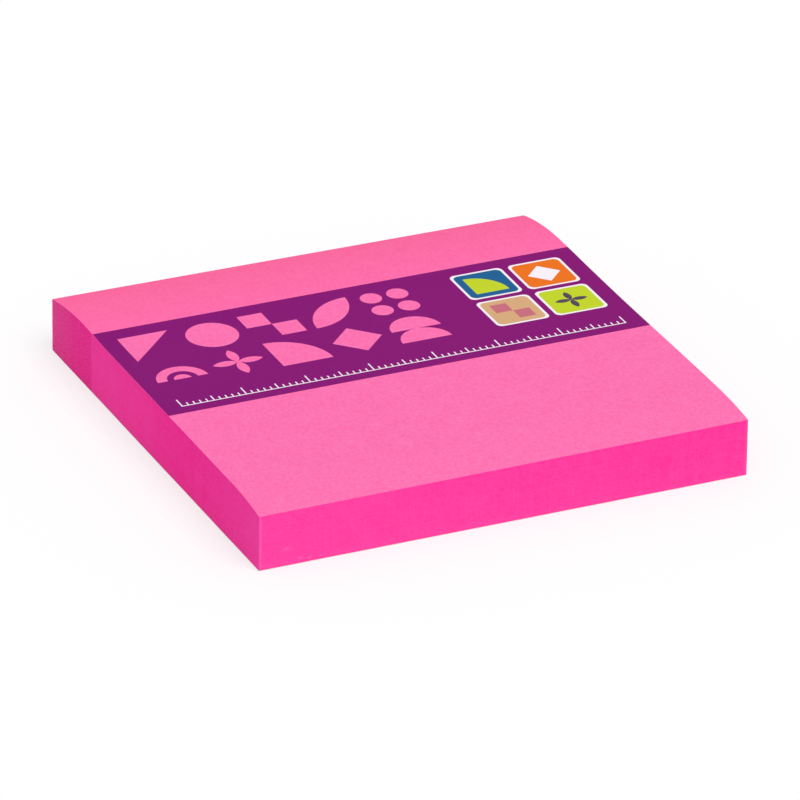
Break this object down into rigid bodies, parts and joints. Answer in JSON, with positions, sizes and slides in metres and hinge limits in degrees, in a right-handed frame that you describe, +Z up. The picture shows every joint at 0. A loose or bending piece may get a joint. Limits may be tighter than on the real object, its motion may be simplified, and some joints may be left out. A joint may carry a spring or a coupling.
{
  "type": "sticky note pad",
  "caption": "Square pad of sticky notes bonded along the back edge, with a gently crowned top and a printed film label across the top note.",
  "frame": {"origin": "middle of the pad's underside, on the surface that it lies on", "axes": "+X right along the front edge, +Y away from the writer to the gummed edge, +Z up through the stack"},
  "size_m": [0.076, 0.076, 0.0095],
  "materials": {
    "note_paper": "uncoated bright pink paper, matte",
    "label_film": "clear film printed purple, satin",
    "backing_paper": "off-white release paper, slight sheen"
  },
  "bodies": {
    "root": {"note_sheets": "note_paper", "cover_label": "label_film", "backing_sheet": "backing_paper"}
  },
  "joints": []
}
